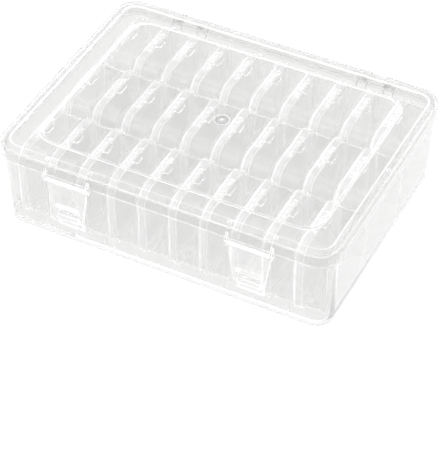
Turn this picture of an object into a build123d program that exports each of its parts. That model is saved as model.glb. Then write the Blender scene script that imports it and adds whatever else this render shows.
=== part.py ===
from build123d import *
import os
from math import radians, tan

os.makedirs("parts", exist_ok=True)

# ---------------------------------------------------------------------------
# Clear storage case for thirty small hinged boxes.
# +X is the width (left to right), -Y is the front with the two latches, +Z is up.
# The origin is the centre of the footprint, at the level of the foot ring. All in mm.
# ---------------------------------------------------------------------------

# case lid
lid_w, lid_d, lid_r = 240.0, 178.6, 16.0  # outside of the skirt
case_h = 63.7  # top of the lid's rim
skirt_z = 53.7  # lower edge of the skirt
skirt_wall = 1.4
rim_band = 7.0  # flat band around the lid, one step above the panel
panel_top = 62.9
panel_under = 61.5
bead_w, bead_d, bead_r, bead_t = 200.0, 139.6, 14.0, 2.0  # stacking bead, centre line

# case body
body_w, body_d, body_r = 231.4, 171.5, 12.2  # outside, at the floor line
body_draft = 2.29  # degrees, walls open upwards
shoulder_z = 52.6  # where the drafted wall ends and the lip starts
lip_w, lip_d, lip_r = 235.2, 174.8, 13.8
lip_top = 61.1
inner_w, inner_d, inner_r = 228.0, 168.1, 9.0  # inside, at the floor
inner_draft = 2.0
foot_h, foot_band = 2.2, 2.6
floor_z = 4.0

# rear hinge
hinge_y, hinge_z = 91.2, 54.0
knuckle_r, hinge_pin_r = 1.6, 0.75
hinge_x = (-70.0, 70.0)

# front latches
latch_x = (-64.4, 64.4)
pivot_y, pivot_z = -90.6, 51.3
latch_top_w, latch_low_w, latch_low_z = 28.0, 20.4, 19.6
plate_back, plate_front = -88.9, -90.5

# small boxes, standing on their hinge edge with the clasp up and the lid to the left
side, thick, corner = 55.0, 21.0, 11.0
pitch = 21.85
first_x = -104.8
row_y = {"front": -55.7, "middle": 0.7, "back": 55.9}
box_z = floor_z + 0.05
split = 6.0  # depth of a small lid's skirt
base_inset, base_draft, base_round = 1.2, 2.4, 2.9


def wall_out(z):
    """Outer face of the front or rear wall, measured from the centre, at height z."""
    return body_d / 2 + z * tan(radians(body_draft))


def wall_in(z):
    """Inner face of the front or rear wall, measured from the centre, at height z."""
    return inner_d / 2 + (z - floor_z) * tan(radians(inner_draft))


def side_in(z):
    """Inner face of a side wall, measured from the centre, at height z."""
    return inner_w / 2 + (z - floor_z) * tan(radians(inner_draft))


# ---------------------------------------------------------------------------
# Case body: drafted tub on a foot ring, lip for the lid, locating ribs, catches, hinge knuckles
# ---------------------------------------------------------------------------
with BuildPart() as case_body:
    with BuildSketch(Plane.XY):
        RectangleRounded(body_w, body_d, body_r)
    extrude(amount=shoulder_z, taper=-body_draft)
    fillet(case_body.edges().group_by(Axis.Z)[0], radius=1.0)
    with BuildSketch(Plane.XY.offset(shoulder_z)):
        RectangleRounded(lip_w, lip_d, lip_r)
    extrude(amount=lip_top - shoulder_z)
    # inside
    with BuildSketch(Plane.XY.offset(floor_z)):
        RectangleRounded(inner_w, inner_d, inner_r)
    extrude(amount=lip_top - floor_z, taper=-inner_draft, mode=Mode.SUBTRACT)
    fillet(
        case_body.edges().filter_by(lambda e: abs(e.center().Z - floor_z) < 1e-3 and e.bounding_box().size.Z < 1e-3),
        radius=2.2,
    )
    fillet(case_body.edges().group_by(Axis.Z)[-1], radius=0.4)
    # foot ring: the underside is recessed inside it
    with BuildSketch(Plane.XY):
        RectangleRounded(body_w - 2 * foot_band, body_d - 2 * foot_band, body_r - foot_band)
    extrude(amount=foot_h, mode=Mode.SUBTRACT)
    # locating ribs inside the front and rear walls, one at each column boundary
    for k in range(1, 10):
        xr = first_x + k * pitch - (pitch - thick) / 2
        for s in (-1, 1):
            with BuildSketch(Plane.YZ.offset(xr - 0.5)):
                with BuildLine():
                    Polyline(
                        (s * (wall_in(5) + 0.8), floor_z - 0.6),
                        (s * (wall_in(5) - 0.35), floor_z - 0.6),
                        (s * (wall_in(16) - 0.35), 16.0),
                        (s * (wall_in(17) + 0.8), 17.6),
                        close=True,
                    )
                make_face()
            extrude(amount=1.0)
    # and inside the side walls, one at each row boundary
    for yr in (-27.5, 28.4):
        for s in (-1, 1):
            with BuildSketch(Plane.XZ.offset(-yr - 0.5)):
                with BuildLine():
                    Polyline(
                        (s * (side_in(5) + 0.8), floor_z - 0.6),
                        (s * (side_in(5) - 0.4), floor_z - 0.6),
                        (s * (side_in(16) - 0.4), 16.0),
                        (s * (side_in(17) + 0.8), 17.6),
                        close=True,
                    )
                make_face()
            extrude(amount=1.0)
    # catch pad and catch ridge under each latch
    for xc in latch_x:
        with BuildSketch(Plane.XZ.offset(wall_out(16) - 1.2)):
            with Locations((xc, 16.3)):
                RectangleRounded(19.0, 7.4, 0.9)
        extrude(amount=1.9)
        with BuildSketch(Plane.XZ.offset(wall_out(16) + 0.1)):
            with Locations((xc, 16.3)):
                RectangleRounded(16.6, 5.0, 0.6)
        extrude(amount=1.0, mode=Mode.SUBTRACT)
        with BuildSketch(Plane.YZ.offset(xc - 8.0)):
            with BuildLine():
                Polyline(
                    (-wall_out(24) + 0.8, 23.4),
                    (-wall_out(24) - 1.35, 23.4),
                    (-wall_out(24) - 1.35, 24.2),
                    (-wall_out(27) + 0.8, 27.4),
                    close=True,
                )
            make_face()
        extrude(amount=16.0)
    # rear hinge: two knuckles on each side of the lid's knuckle
    for xc in hinge_x:
        for x0 in (xc - 13.3, xc + 6.3):
            with BuildSketch(Plane.YZ.offset(x0)):
                with BuildLine():
                    Polyline(
                        (wall_out(45) - 0.9, 45.4),
                        (wall_out(46), 45.9),
                        (hinge_y + 1.2, hinge_z - 1.06),
                        (hinge_y, hinge_z),
                        (hinge_y - 1.45, hinge_z - 0.68),
                        (wall_out(52) - 0.9, 52.3),
                        close=True,
                    )
                make_face()
                with Locations((hinge_y, hinge_z)):
                    Circle(knuckle_r)
            extrude(amount=7.0)
        for x0 in (xc - 10.6, xc + 6.2):
            with BuildSketch(Plane.YZ.offset(x0)):
                with Locations((hinge_y, hinge_z)):
                    Circle(hinge_pin_r + 0.1)
            extrude(amount=4.4, mode=Mode.SUBTRACT)
case_body.part.label = "case_body"
export_step(case_body.part, "parts/case_body.step")

# ---------------------------------------------------------------------------
# Case lid: skirted panel with a raised rim band, stacking bead, gate ring, latch ears, hinge knuckles
# ---------------------------------------------------------------------------
with BuildPart() as case_lid:
    with BuildSketch(Plane.XY.offset(skirt_z)):
        RectangleRounded(lid_w, lid_d, lid_r)
    extrude(amount=case_h - skirt_z)
    fillet(case_lid.edges().group_by(Axis.Z)[-1], radius=1.7)
    fillet(case_lid.edges().group_by(Axis.Z)[0], radius=0.45)
    with BuildSketch(Plane.XY.offset(skirt_z)):
        RectangleRounded(lid_w - 2 * skirt_wall, lid_d - 2 * skirt_wall, lid_r - skirt_wall)
    extrude(amount=panel_under - skirt_z, mode=Mode.SUBTRACT)
    fillet(
        case_lid.edges().filter_by(lambda e: abs(e.center().Z - panel_under) < 1e-3 and e.bounding_box().size.Z < 1e-3),
        radius=1.2,
    )
    # panel, one step below the rim band
    with BuildSketch(Plane.XY.offset(panel_top)):
        RectangleRounded(lid_w - 2 * rim_band, lid_d - 2 * rim_band, lid_r - rim_band)
    extrude(amount=2.0, taper=-38, mode=Mode.SUBTRACT)
    # stacking bead
    with BuildSketch(Plane.XY.offset(panel_top - 0.2)):
        RectangleRounded(bead_w + bead_t, bead_d + bead_t, bead_r + bead_t / 2)
        RectangleRounded(bead_w - bead_t, bead_d - bead_t, bead_r - bead_t / 2, mode=Mode.SUBTRACT)
    extrude(amount=case_h - panel_top + 0.2)
    fillet(
        case_lid.edges().filter_by(
            lambda e: abs(e.center().Z - case_h) < 1e-3
            and e.bounding_box().size.Z < 1e-3
            and abs(e.center().X) < bead_w / 2 + 1.5
            and abs(e.center().Y) < bead_d / 2 + 1.5
        ),
        radius=0.65,
    )
    # gate ring at the middle of the panel
    with BuildSketch(Plane.XY.offset(panel_top - 0.3)):
        Circle(4.6)
        Circle(2.9, mode=Mode.SUBTRACT)
    extrude(amount=1.0, mode=Mode.SUBTRACT)
    with BuildSketch(Plane.XY.offset(panel_top)):
        Circle(1.1)
    extrude(amount=0.3)
    # small round marks on the rim: two at the middle of the short sides, one over each latch ear
    marks = [(-116.2, 2.6), (116.2, 2.6)] + [(xc + s * 15.6, -85.2) for xc in latch_x for s in (-1, 1)]
    with Locations(*[(x, y, case_h + 0.9) for x, y in marks]):
        Sphere(1.6, mode=Mode.SUBTRACT)
    # latch ears, two per latch, standing out from the skirt
    for xc in latch_x:
        for x0 in (xc - 16.2, xc + 14.6):
            with BuildSketch(Plane.YZ.offset(x0)):
                with BuildLine():
                    Polyline(
                        (-lid_d / 2 + 0.6, 58.6),
                        (-lid_d / 2 - 0.2, 58.6),
                        (pivot_y - 2.1, pivot_z + 1.4),
                        (pivot_y, pivot_z),
                        (pivot_y + 1.9, pivot_z + 1.2),
                        (-lid_d / 2 + 0.9, skirt_z + 0.4),
                        close=True,
                    )
                make_face()
                with Locations((pivot_y, pivot_z)):
                    Circle(2.2)
                    Circle(1.1, mode=Mode.SUBTRACT)
            extrude(amount=1.6)
    # rear hinge: one knuckle between each pair on the body, with its two moulded pins
    for xc in hinge_x:
        with BuildSketch(Plane.YZ.offset(xc - 6.0)):
            with BuildLine():
                Polyline(
                    (lid_d / 2 - 0.5, 58.4),
                    (lid_d / 2 + 0.4, 58.4),
                    (hinge_y + 1.55, hinge_z + 0.4),
                    (hinge_y, hinge_z),
                    (hinge_y - 1.3, hinge_z - 0.2),
                    (lid_d / 2 - 0.5, hinge_z + 0.1),
                    close=True,
                )
            make_face()
            with Locations((hinge_y, hinge_z)):
                Circle(knuckle_r)
        extrude(amount=12.0)
        with BuildSketch(Plane.YZ.offset(xc - 10.2)):
            with Locations((hinge_y, hinge_z)):
                Circle(hinge_pin_r)
        extrude(amount=20.4)
case_lid.part.label = "case_lid"
export_step(case_lid.part, "parts/case_lid.step")

# ---------------------------------------------------------------------------
# Latches: tapered flap under a pivot barrel, finger rib outside, hook inside
# ---------------------------------------------------------------------------
for latch_name, xc in (("latch_left", latch_x[0]), ("latch_right", latch_x[1])):
    with BuildPart() as latch:
        with BuildSketch(Plane.XZ.offset(-plate_back)):
            with BuildLine():
                FilletPolyline(
                    (xc - latch_top_w / 2, pivot_z - 0.4),
                    (xc - latch_top_w / 2, pivot_z - 8.0),
                    (xc - latch_low_w / 2, latch_low_z),
                    (xc + latch_low_w / 2, latch_low_z),
                    (xc + latch_top_w / 2, pivot_z - 8.0),
                    (xc + latch_top_w / 2, pivot_z - 0.4),
                    radius=3.2,
                )
                Line((xc + latch_top_w / 2, pivot_z - 0.4), (xc - latch_top_w / 2, pivot_z - 0.4))
            make_face()
        extrude(amount=plate_back - plate_front)
        fillet(
            latch.faces().sort_by(Axis.Y)[0].edges().filter_by(lambda e: e.center().Z < pivot_z - 1.0),
            radius=0.6,
        )
        # pivot barrel with a pin at each end
        with BuildSketch(Plane.YZ.offset(xc - latch_top_w / 2)):
            with Locations((pivot_y, pivot_z)):
                Circle(1.6)
        extrude(amount=latch_top_w)
        with BuildSketch(Plane.YZ.offset(xc - 15.9)):
            with Locations((pivot_y, pivot_z)):
                Circle(1.0)
        extrude(amount=31.8)
        # finger rib
        with BuildSketch(Plane.YZ.offset(xc - 8.4)):
            with BuildLine():
                Polyline(
                    (plate_front + 0.4, 29.6),
                    (plate_front - 1.1, 30.4),
                    (plate_front - 1.1, 31.3),
                    (plate_front + 0.4, 34.4),
                    close=True,
                )
            make_face()
        extrude(amount=16.8)
        # hook that sits under the catch ridge
        with BuildSketch(Plane.YZ.offset(xc - 7.5)):
            with BuildLine():
                Polyline(
                    (plate_back - 0.4, 19.9),
                    (plate_back + 0.3, 19.9),
                    (-wall_out(22) - 0.45, 21.6),
                    (-wall_out(22) - 0.45, 23.0),
                    (plate_back - 0.4, 23.0),
                    close=True,
                )
            make_face()
        extrude(amount=15.0)
    latch.part.label = latch_name
    export_step(latch.part, f"parts/{latch_name}.step")

# ---------------------------------------------------------------------------
# One small box. Its depth runs along X: lid face at x=0, base face at x=thick.
# It stands on its hinge edge at z=0, with the clasp on top. y=0 is its middle.
# ---------------------------------------------------------------------------
with BuildPart() as small_lid:
    with BuildSketch(Plane.YZ):
        with Locations((0, side / 2)):
            RectangleRounded(side, side, corner)
    extrude(amount=split)
    fillet(small_lid.edges().group_by(Axis.X)[0], radius=0.8)
    with BuildSketch(Plane.YZ.offset(1.25)):
        with Locations((0, side / 2)):
            RectangleRounded(side - 2.2, side - 2.2, corner - 1.1)
    extrude(amount=split - 1.25, mode=Mode.SUBTRACT)
    # face panel set back inside a narrow border
    with BuildSketch(Plane.YZ):
        with Locations((0, side / 2)):
            RectangleRounded(side - 5.0, side - 5.0, corner - 2.5)
    extrude(amount=0.35, mode=Mode.SUBTRACT)
    # clasp: raised pad between two notches, with the spring tongue in the middle
    with BuildSketch(Plane.XY.offset(side - 0.5)):
        with Locations((3.9, 0)):
            Rectangle(4.2, 18.4)
    extrude(amount=0.95)
    with BuildSketch(Plane.XY.offset(side - 0.25)):
        with Locations((6.2, 0)):
            RectangleRounded(7.6, 8.4, 0.7)
    extrude(amount=1.15)
    for s in (-1, 1):
        with BuildSketch(Plane.XY.offset(side - 1.2)):
            with Locations((4.6, s * 9.9)):
                Rectangle(3.0, 1.3)
        extrude(amount=2.5, mode=Mode.SUBTRACT)
    # hinge lugs on the standing edge
    for s in (-1, 1):
        with BuildSketch(Plane.XY.offset(0.02)):
            with Locations((7.0, s * 13.6)):
                Rectangle(3.6, 3.0)
        extrude(amount=0.6)

with BuildPart() as small_base:
    # wall below the lid's skirt
    with BuildSketch(Plane.YZ.offset(split + 0.15)):
        with Locations((0, side / 2)):
            RectangleRounded(side - 2 * base_inset, side - 2 * base_inset, corner - base_inset)
    extrude(amount=thick - split - 0.15, taper=base_draft)
    fillet(small_base.edges().group_by(Axis.X)[-1], radius=base_round)
    # lip inside the skirt
    with BuildSketch(Plane.YZ.offset(1.5)):
        with Locations((0, side / 2)):
            RectangleRounded(side - 2.7, side - 2.7, corner - 1.35)
    extrude(amount=split)
    # inside
    with BuildSketch(Plane.YZ.offset(1.5)):
        with Locations((0, side / 2)):
            RectangleRounded(side - 4.5, side - 4.5, corner - 2.25)
    extrude(amount=thick - 1.1 - 1.5, taper=1.5, mode=Mode.SUBTRACT)
    fillet(
        small_base.edges().filter_by(lambda e: abs(e.center().X - (thick - 1.1)) < 1e-3 and e.bounding_box().size.X < 1e-3),
        radius=1.3,
    )
    # catch bump under the tongue
    with BuildSketch(Plane.XY.offset(side - 1.6)):
        with Locations((8.9, 0)):
            Rectangle(1.0, 6.8)
    extrude(amount=1.15)
    # hinge bar between the lugs
    with BuildSketch(Plane.XZ.offset(-11.7)):
        with Locations((7.4, 1.0)):
            Circle(0.9)
    extrude(amount=23.4)
    # gate dimple in the middle of the base
    with BuildSketch(Plane.YZ.offset(thick - 0.3)):
        with Locations((0, side / 2)):
            Circle(1.5)
    extrude(amount=0.5, mode=Mode.SUBTRACT)

# ---------------------------------------------------------------------------
# The thirty small boxes, in three rows of ten. Boxes of the front and middle rows have a node for the
# base and one for the lid; a box of the back row is one node of two solids.
# ---------------------------------------------------------------------------
for row, yc in row_y.items():
    for k in range(10):
        place = Location((first_x + k * pitch, yc, box_z))
        if row == "back":
            with BuildPart() as mini_box:
                add(small_base.part.moved(place))
                add(small_lid.part.moved(place))
            mini_box.part.label = f"mini_box_{row}_{k + 1:02d}"
            export_step(mini_box.part, f"parts/{mini_box.part.label}.step")
        else:
            with BuildPart() as mini_base:
                add(small_base.part.moved(place))
            mini_base.part.label = f"mini_base_{row}_{k + 1:02d}"
            export_step(mini_base.part, f"parts/{mini_base.part.label}.step")
            with BuildPart() as mini_lid:
                add(small_lid.part.moved(place))
            mini_lid.part.label = f"mini_lid_{row}_{k + 1:02d}"
            export_step(mini_lid.part, f"parts/{mini_lid.part.label}.step")
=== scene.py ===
import math

import bpy
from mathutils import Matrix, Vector

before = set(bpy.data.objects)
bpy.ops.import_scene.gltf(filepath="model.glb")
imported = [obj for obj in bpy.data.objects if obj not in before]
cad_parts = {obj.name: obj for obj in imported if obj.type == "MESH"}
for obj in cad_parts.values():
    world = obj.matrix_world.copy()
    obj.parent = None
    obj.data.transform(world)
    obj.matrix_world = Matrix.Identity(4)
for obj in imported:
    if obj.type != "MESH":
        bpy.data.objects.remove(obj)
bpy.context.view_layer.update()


# ---------------------------------------------------------------------------
# Materials: clear moulded plastic
# ---------------------------------------------------------------------------
def set_ramp(node, stops):
    elements = node.color_ramp.elements
    while len(elements) < len(stops):
        elements.new(0.5)
    for element, (place, grey) in zip(elements, stops):
        element.position = place
        element.color = (grey, grey, grey, 1.0)


def clear_plastic(name, tint, clear, rough, haze, wave, wave_size, mottling, edge_radius, edge_highlight_share, calm=None, band=None, glow=0.0):
    """Clear plastic with a faint tint, a moulded skin that isn't perfectly flat, fine haze, and a painted white
    highlight along its edges: a white shader with its own glow mixed in where the surface turns. clear is the part of
    light that isn't scattered in its skin. calm is (height, radius): below that height, and within that radius of the
    middle, the painted highlight along the edges is much weaker; the gate mark in the middle is painted there as
    painted highlight and painted shade. band is (first, pitch, width, clear, white, tint, glow, clasp glow): the strips
    along X, one pitch apart, where two walls lie over each other, painted lighter than the rest with a milkier, paler
    skin and extra glow, with a painted glow on the clasp and painted pale and grey stripes across them; white is the
    part of the painted highlight along the edges that is kept outside the strips. glow is painted light: an even
    emission that brightens the plastic, though it is no lamp.
    """
    mat = bpy.data.materials.new(name)
    mat.use_nodes = True
    nodes, links = mat.node_tree.nodes, mat.node_tree.links
    nodes.clear()
    out = nodes.new("ShaderNodeOutputMaterial")
    shader = nodes.new("ShaderNodeBsdfPrincipled")
    # painted highlight along the edges: a white shader with its own glow is mixed in where the bevelled normal turns
    # away from the flat one, so the edges look lit white
    painted_edge_light = nodes.new("ShaderNodeBsdfPrincipled")
    painted_edge_light.inputs["Base Color"].default_value = (0.99, 0.99, 0.99, 1.0)
    painted_edge_light.inputs["Roughness"].default_value = 0.35
    painted_edge_light.inputs["Emission Color"].default_value = (1.0, 1.0, 1.0, 1.0)
    painted_edge_light.inputs["Emission Strength"].default_value = 0.4
    rounded = nodes.new("ShaderNodeBevel")
    rounded.samples = 6
    rounded.inputs["Radius"].default_value = edge_radius
    flat = nodes.new("ShaderNodeNewGeometry")
    turn = nodes.new("ShaderNodeVectorMath")
    turn.operation = "DOT_PRODUCT"
    links.new(rounded.outputs["Normal"], turn.inputs[0])
    links.new(flat.outputs["Normal"], turn.inputs[1])
    edge_highlight_mask = nodes.new("ShaderNodeMapRange")
    edge_highlight_mask.inputs["From Min"].default_value = 0.995
    edge_highlight_mask.inputs["From Max"].default_value = 0.93
    edge_highlight_mask.inputs["To Min"].default_value = 0.0
    edge_highlight_mask.inputs["To Max"].default_value = edge_highlight_share
    links.new(turn.outputs["Value"], edge_highlight_mask.inputs["Value"])
    highlight_share = edge_highlight_mask.outputs["Result"]
    if calm:
        # the painted highlight along the edges is made weaker below the calm height and within the calm radius of the
        # middle
        spot = nodes.new("ShaderNodeTexCoord")
        split = nodes.new("ShaderNodeSeparateXYZ")
        links.new(spot.outputs["Object"], split.inputs["Vector"])
        above = nodes.new("ShaderNodeMapRange")
        above.inputs["From Min"].default_value = calm[0] - 0.0006
        above.inputs["From Max"].default_value = calm[0]
        above.inputs["To Min"].default_value = 0.12
        links.new(split.outputs["Z"], above.inputs["Value"])
        level = nodes.new("ShaderNodeCombineXYZ")
        links.new(split.outputs["X"], level.inputs["X"])
        links.new(split.outputs["Y"], level.inputs["Y"])
        away = nodes.new("ShaderNodeVectorMath")
        away.operation = "LENGTH"
        links.new(level.outputs["Vector"], away.inputs[0])
        beyond = nodes.new("ShaderNodeMapRange")
        beyond.inputs["From Min"].default_value = calm[1]
        beyond.inputs["From Max"].default_value = calm[1] + 0.002
        beyond.inputs["To Min"].default_value = 0.3
        links.new(away.outputs["Value"], beyond.inputs["Value"])
        for part in (above, beyond):
            less = nodes.new("ShaderNodeMath")
            less.operation = "MULTIPLY"
            links.new(highlight_share, less.inputs[0])
            links.new(part.outputs["Result"], less.inputs[1])
            highlight_share = less.outputs["Value"]
        # the gate mark, painted: a pale dot in the middle and a pale rim are painted highlight, and a greyer groove
        # between them and a thin grey line outside the rim are painted shade
        reach = nodes.new("ShaderNodeMath")
        reach.operation = "DIVIDE"
        reach.inputs[1].default_value = 0.007
        links.new(away.outputs["Value"], reach.inputs[0])
        painted_ring_highlight = nodes.new("ShaderNodeValToRGB")
        set_ramp(painted_ring_highlight, ((0.0, 0.30), (0.12, 0.30), (0.19, 0.0), (0.66, 0.0), (0.70, 0.22), (0.78, 0.20), (0.84, 0.0)))
        links.new(reach.outputs["Value"], painted_ring_highlight.inputs["Fac"])
        marked = nodes.new("ShaderNodeMath")
        marked.operation = "MAXIMUM"
        links.new(highlight_share, marked.inputs[0])
        links.new(painted_ring_highlight.outputs["Color"], marked.inputs[1])
        highlight_share = marked.outputs["Value"]
        shade = nodes.new("ShaderNodeValToRGB")
        set_ramp(shade, ((0.0, 1.0), (0.17, 1.0), (0.22, 0.68), (0.40, 0.68), (0.44, 0.50), (0.64, 0.50), (0.68, 1.0), (0.81, 1.0), (0.86, 0.64), (0.92, 1.0)))
        links.new(reach.outputs["Value"], shade.inputs["Fac"])
    both = nodes.new("ShaderNodeMixShader")
    links.new(highlight_share, both.inputs["Fac"])
    links.new(shader.outputs["BSDF"], both.inputs[1])
    links.new(painted_edge_light.outputs["BSDF"], both.inputs[2])
    links.new(both.outputs["Shader"], out.inputs["Surface"])
    shader.inputs["Metallic"].default_value = 0.0
    shader.inputs["IOR"].default_value = 1.49
    # painted light: glow is an even emission on the plastic, which lifts its brightness though it is no lamp
    shader.inputs["Emission Color"].default_value = (1.0, 1.0, 1.0, 1.0)
    shader.inputs["Emission Strength"].default_value = glow
    painted_strip_mask = None
    if band:
        # painted lighter strips along X, one pitch apart: they get a paler tint, a less clear skin and extra glow
        where = nodes.new("ShaderNodeTexCoord")
        along = nodes.new("ShaderNodeSeparateXYZ")
        links.new(where.outputs["Object"], along.inputs["Vector"])
        moved = nodes.new("ShaderNodeMath")
        moved.operation = "SUBTRACT"
        moved.inputs[1].default_value = band[0]
        links.new(along.outputs["X"], moved.inputs[0])
        cell = nodes.new("ShaderNodeMath")
        cell.operation = "FLOORED_MODULO"
        cell.inputs[1].default_value = band[1]
        links.new(moved.outputs["Value"], cell.inputs[0])
        step = nodes.new("ShaderNodeMapRange")
        step.inputs["From Min"].default_value = band[2] + 0.0002
        step.inputs["From Max"].default_value = band[2]
        links.new(cell.outputs["Value"], step.inputs["Value"])
        painted_strip_mask = step.outputs["Result"]
        # outside the strips only part of the painted highlight along the edges is kept
        white = nodes.new("ShaderNodeMapRange")
        white.inputs["To Min"].default_value = band[4]
        white.inputs["To Max"].default_value = 1.0
        links.new(painted_strip_mask, white.inputs["Value"])
        strip_faded_highlight = nodes.new("ShaderNodeMath")
        strip_faded_highlight.operation = "MULTIPLY"
        links.new(highlight_share, strip_faded_highlight.inputs[0])
        links.new(white.outputs["Result"], strip_faded_highlight.inputs[1])
        links.new(strip_faded_highlight.outputs["Value"], both.inputs["Fac"])
    # what enters the wall is tinted and partly scattered once, and what runs along inside it isn't
    inner = nodes.new("ShaderNodeNewGeometry")
    passed = nodes.new("ShaderNodeMapRange")
    passed.inputs["To Min"].default_value = clear
    passed.inputs["To Max"].default_value = 1.0
    links.new(inner.outputs["Backfacing"], passed.inputs["Value"])
    if band:
        # painted light in the strips: a less clear skin that scatters more, and extra glow
        painted_milky_strips = nodes.new("ShaderNodeMapRange")
        painted_milky_strips.inputs["To Min"].default_value = clear
        painted_milky_strips.inputs["To Max"].default_value = band[3]
        links.new(painted_strip_mask, painted_milky_strips.inputs["Value"])
        links.new(painted_milky_strips.outputs["Result"], passed.inputs["To Min"])
        painted_strip_glow = nodes.new("ShaderNodeMapRange")
        painted_strip_glow.inputs["To Min"].default_value = glow
        painted_strip_glow.inputs["To Max"].default_value = band[6]
        links.new(painted_strip_mask, painted_strip_glow.inputs["Value"])
        # the clasp in the middle of the strips is thick; extra glow paints it almost white (painted light)
        row = nodes.new("ShaderNodeMath")
        row.operation = "ADD"
        row.inputs[1].default_value = 0.0557 + 0.0279
        links.new(along.outputs["Y"], row.inputs[0])
        in_row = nodes.new("ShaderNodeMath")
        in_row.operation = "FLOORED_MODULO"
        in_row.inputs[1].default_value = 0.0558
        links.new(row.outputs["Value"], in_row.inputs[0])
        off = nodes.new("ShaderNodeMath")
        off.operation = "SUBTRACT"
        off.inputs[1].default_value = 0.0279
        links.new(in_row.outputs["Value"], off.inputs[0])
        apart = nodes.new("ShaderNodeMath")
        apart.operation = "ABSOLUTE"
        links.new(off.outputs["Value"], apart.inputs[0])
        middle = nodes.new("ShaderNodeMapRange")
        middle.inputs["From Min"].default_value = 0.0125
        middle.inputs["From Max"].default_value = 0.0085
        links.new(apart.outputs["Value"], middle.inputs["Value"])
        top = nodes.new("ShaderNodeMapRange")
        top.inputs["From Min"].default_value = 0.0560
        top.inputs["From Max"].default_value = 0.0566
        links.new(along.outputs["Z"], top.inputs["Value"])
        clasp = middle.outputs["Result"]
        for part in (top.outputs["Result"], painted_strip_mask):
            on = nodes.new("ShaderNodeMath")
            on.operation = "MULTIPLY"
            links.new(clasp, on.inputs[0])
            links.new(part, on.inputs[1])
            clasp = on.outputs["Value"]
        painted_clasp_glow = nodes.new("ShaderNodeMath")
        painted_clasp_glow.operation = "MULTIPLY_ADD"
        painted_clasp_glow.inputs[1].default_value = band[7]
        links.new(clasp, painted_clasp_glow.inputs[0])
        links.new(painted_strip_glow.outputs["Result"], painted_clasp_glow.inputs[2])
        # across the strips: a pale band, then two pale stripes with a greyer one between, where the skirt and the lip
        # overlap; these are painted highlight and painted shade, glow added to the emission or taken from it
        across = nodes.new("ShaderNodeMath")
        across.operation = "DIVIDE"
        across.inputs[1].default_value = band[2]
        links.new(cell.outputs["Value"], across.inputs[0])
        painted_strip_lines = nodes.new("ShaderNodeValToRGB")
        set_ramp(painted_strip_lines, ((0.0, 0.25), (0.19, 0.25), (0.23, 0.75), (0.36, 0.75), (0.42, 0.18), (0.56, 0.18), (0.60, 0.9), (0.70, 0.9), (0.74, 0.0), (0.83, 0.0), (0.87, 0.9), (1.0, 0.9)))
        links.new(across.outputs["Value"], painted_strip_lines.inputs["Fac"])
        painted_line_offset = nodes.new("ShaderNodeMath")
        painted_line_offset.operation = "SUBTRACT"
        painted_line_offset.inputs[1].default_value = 0.25
        links.new(painted_strip_lines.outputs["Color"], painted_line_offset.inputs[0])
        in_strip = nodes.new("ShaderNodeMath")
        in_strip.operation = "MULTIPLY"
        links.new(painted_line_offset.outputs["Value"], in_strip.inputs[0])
        links.new(painted_strip_mask, in_strip.inputs[1])
        painted_strip_emission = nodes.new("ShaderNodeMath")
        painted_strip_emission.operation = "MULTIPLY_ADD"
        painted_strip_emission.inputs[1].default_value = 0.095
        links.new(in_strip.outputs["Value"], painted_strip_emission.inputs[0])
        links.new(painted_clasp_glow.outputs["Value"], painted_strip_emission.inputs[2])
        links.new(painted_strip_emission.outputs["Value"], shader.inputs["Emission Strength"])
    links.new(passed.outputs["Result"], shader.inputs["Transmission Weight"])

    coords = nodes.new("ShaderNodeTexCoord")

    # colour: a faint cloudiness in the tint
    cloud = nodes.new("ShaderNodeTexNoise")
    cloud.inputs["Scale"].default_value = 38.0
    cloud.inputs["Detail"].default_value = 3.0
    links.new(coords.outputs["Object"], cloud.inputs["Vector"])
    ramp = nodes.new("ShaderNodeValToRGB")
    low = [c * (1.0 - mottling) for c in tint]
    ramp.color_ramp.elements[0].position = 0.32
    ramp.color_ramp.elements[0].color = (*low, 1.0)
    ramp.color_ramp.elements[1].position = 0.68
    ramp.color_ramp.elements[1].color = (*tint, 1.0)
    links.new(cloud.outputs["Fac"], ramp.inputs["Fac"])
    colour = ramp.outputs["Color"]
    if calm:
        # painted shade of the gate mark: the tint is multiplied by the grey ring ramp
        shaded = nodes.new("ShaderNodeMix")
        shaded.data_type = "RGBA"
        shaded.blend_type = "MULTIPLY"
        shaded.inputs[0].default_value = 1.0
        links.new(colour, shaded.inputs[6])
        links.new(shade.outputs["Color"], shaded.inputs[7])
        colour = shaded.outputs[2]
    if band:
        # painted light: the strips get a paler tint
        pale = nodes.new("ShaderNodeMix")
        pale.data_type = "RGBA"
        pale.inputs[7].default_value = (*band[5], 1.0)
        links.new(painted_strip_mask, pale.inputs[0])
        links.new(colour, pale.inputs[6])
        colour = pale.outputs[2]
    bare = nodes.new("ShaderNodeMix")
    bare.data_type = "RGBA"
    bare.inputs[7].default_value = (1.0, 1.0, 1.0, 1.0)
    links.new(colour, bare.inputs[6])
    links.new(inner.outputs["Backfacing"], bare.inputs[0])
    links.new(bare.outputs[2], shader.inputs["Base Color"])

    # roughness: polished, with patches of fine haze and handling marks
    smear = nodes.new("ShaderNodeTexNoise")
    smear.inputs["Scale"].default_value = 120.0
    smear.inputs["Detail"].default_value = 5.0
    smear.inputs["Roughness"].default_value = 0.6
    links.new(coords.outputs["Object"], smear.inputs["Vector"])
    hazed = nodes.new("ShaderNodeMapRange")
    hazed.inputs["From Min"].default_value = 0.35
    hazed.inputs["From Max"].default_value = 0.75
    hazed.inputs["To Min"].default_value = rough
    hazed.inputs["To Max"].default_value = rough + haze
    links.new(smear.outputs["Fac"], hazed.inputs["Value"])
    links.new(hazed.outputs["Result"], shader.inputs["Roughness"])

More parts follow.
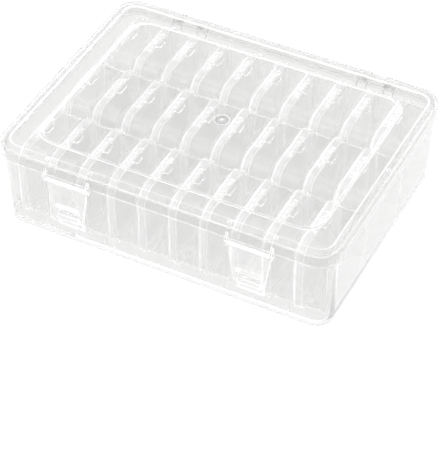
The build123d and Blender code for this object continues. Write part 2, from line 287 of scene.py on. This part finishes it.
    # bump: slow waviness of a thin moulded wall, plus a very fine skin
    slow = nodes.new("ShaderNodeTexNoise")
    slow.inputs["Scale"].default_value = wave_size
    slow.inputs["Detail"].default_value = 1.5
    links.new(coords.outputs["Object"], slow.inputs["Vector"])
    bump = nodes.new("ShaderNodeBump")
    bump.inputs["Strength"].default_value = 0.6
    bump.inputs["Distance"].default_value = wave
    links.new(slow.outputs["Fac"], bump.inputs["Height"])
    fine = nodes.new("ShaderNodeTexNoise")
    fine.inputs["Scale"].default_value = 900.0
    fine.inputs["Detail"].default_value = 2.0
    links.new(coords.outputs["Object"], fine.inputs["Vector"])
    skin = nodes.new("ShaderNodeBump")
    skin.inputs["Strength"].default_value = 0.05
    skin.inputs["Distance"].default_value = 0.00002
    links.new(fine.outputs["Fac"], skin.inputs["Height"])
    links.new(bump.outputs["Normal"], skin.inputs["Normal"])
    links.new(skin.outputs["Normal"], shader.inputs["Normal"])
    return mat


case_plastic = clear_plastic("case_clear", (0.775, 0.775, 0.770), 0.98, 0.015, 0.025, 0.00003, 22.0, 0.008, 0.0010, 0.85, None, None, 0.008)
lid_plastic = clear_plastic("case_lid_clear", (0.81, 0.81, 0.805), 0.98, 0.012, 0.02, 0.00003, 18.0, 0.006, 0.0010, 0.75, (0.0537, 0.007), None, 0.008)
latch_plastic = clear_plastic("latch_clear", (0.985, 0.985, 0.983), 0.97, 0.03, 0.03, 0.00003, 40.0, 0.008, 0.0005, 0.42, None, None, 0.03)
strips = (-0.1048, 0.02185, 0.0061, 0.72, 0.16, (0.995, 0.995, 0.995), 0.055, 0.05)
box_plastic = clear_plastic("box_clear", (0.968, 0.968, 0.966), 0.90, 0.09, 0.05, 0.00002, 45.0, 0.012, 0.0010, 0.9, None, strips, 0.0264)


def material_of(node):
    if node.startswith("mini_"):
        return box_plastic
    if node.startswith("latch"):
        return latch_plastic
    if node == "case_lid":
        return lid_plastic
    return case_plastic


for node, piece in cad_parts.items():
    objects = piece if isinstance(piece, (list, tuple)) else [piece]
    for obj in objects:
        if isinstance(obj, str):
            obj = bpy.data.objects[obj]
        if not obj.material_slots:
            obj.data.materials.append(material_of(node))
        for slot in obj.material_slots:
            slot.material = material_of(node)


# ---------------------------------------------------------------------------
# Floor, light and camera
# ---------------------------------------------------------------------------
def floor_material():
    mat = bpy.data.materials.new("floor_pale")
    mat.use_nodes = True
    nodes, links = mat.node_tree.nodes, mat.node_tree.links
    shader = nodes["Principled BSDF"]
    shader.inputs["Roughness"].default_value = 0.9
    shader.inputs["Specular IOR Level"].default_value = 0.1
    shader.inputs["Emission Color"].default_value = (1.0, 1.0, 1.0, 1.0)
    shader.inputs["Emission Strength"].default_value = 1.05
    coords = nodes.new("ShaderNodeTexCoord")
    noise = nodes.new("ShaderNodeTexNoise")
    noise.inputs["Scale"].default_value = 6.0
    noise.inputs["Detail"].default_value = 4.0
    links.new(coords.outputs["Object"], noise.inputs["Vector"])
    ramp = nodes.new("ShaderNodeValToRGB")
    ramp.color_ramp.elements[0].color = (0.03, 0.03, 0.03, 1.0)
    ramp.color_ramp.elements[1].color = (0.04, 0.04, 0.04, 1.0)
    links.new(noise.outputs["Fac"], ramp.inputs["Fac"])
    links.new(ramp.outputs["Color"], shader.inputs["Base Color"])
    return mat


floor_mesh = bpy.data.meshes.new("floor")
half = 6.0
floor_mesh.from_pydata([(-half, -half, 0), (half, -half, 0), (half, half, 0), (-half, half, 0)], [], [(0, 1, 2, 3)])
floor = bpy.data.objects.new("floor", floor_mesh)
bpy.context.collection.objects.link(floor)
floor.location.z = -0.0002
floor_mesh.materials.append(floor_material())


def softbox(name, place, aim, width, depth, watts, colour=(1.0, 1.0, 1.0)):
    data = bpy.data.lights.new(name, "AREA")
    data.shape = "RECTANGLE"
    data.size, data.size_y = width, depth
    data.energy = watts
    data.color = colour
    obj = bpy.data.objects.new(name, data)
    bpy.context.collection.objects.link(obj)
    obj.location = place
    obj.rotation_euler = (Vector(aim) - Vector(place)).to_track_quat("-Z", "Y").to_euler()
    return obj


centre = (0.0, 0.0, 0.03)
softbox("overhead", (-0.1, 0.45, 1.5), centre, 1.6, 1.3, 6.5)
softbox("front_left", (-0.75, -1.1, 1.0), centre, 1.4, 1.3, 8.0)
softbox("back_right", (0.8, 1.1, 0.95), centre, 1.5, 1.3, 4.5)
softbox("back_left", (-1.25, 0.95, 0.35), centre, 1.2, 0.7, 4.0)

world = bpy.data.worlds.new("studio")
bpy.context.scene.world = world
world.use_nodes = True
back = world.node_tree.nodes["Background"]
back.inputs["Color"].default_value = (0.99, 0.99, 0.987, 1.0)
back.inputs["Strength"].default_value = 0.88

camera_data = bpy.data.cameras.new("camera")
camera = bpy.data.objects.new("camera", camera_data)
bpy.context.collection.objects.link(camera)
azimuth, elevation, distance = math.radians(27.026), math.radians(43.165), 1.2973
target = Vector((-0.00019, -0.00227, -0.03403))
offset = Vector((math.sin(azimuth) * math.cos(elevation), -math.cos(azimuth) * math.cos(elevation), math.sin(elevation)))
camera.location = target + offset * distance
camera.rotation_euler = (-offset).to_track_quat("-Z", "Y").to_euler()
camera_data.sensor_fit = "HORIZONTAL"
camera_data.sensor_width = 36.0
camera_data.lens = 1906.7 / 440.0 * 36.0
camera_data.clip_start, camera_data.clip_end = 0.05, 50.0
bpy.context.scene.camera = camera

scene = bpy.context.scene
scene.view_settings.view_transform = "Standard"
scene.view_settings.look = "None"
scene.cycles.max_bounces = 64
scene.cycles.transmission_bounces = 64
scene.cycles.glossy_bounces = 64
scene.cycles.diffuse_bounces = 6
scene.cycles.transparent_max_bounces = 48
scene.cycles.use_denoising = True
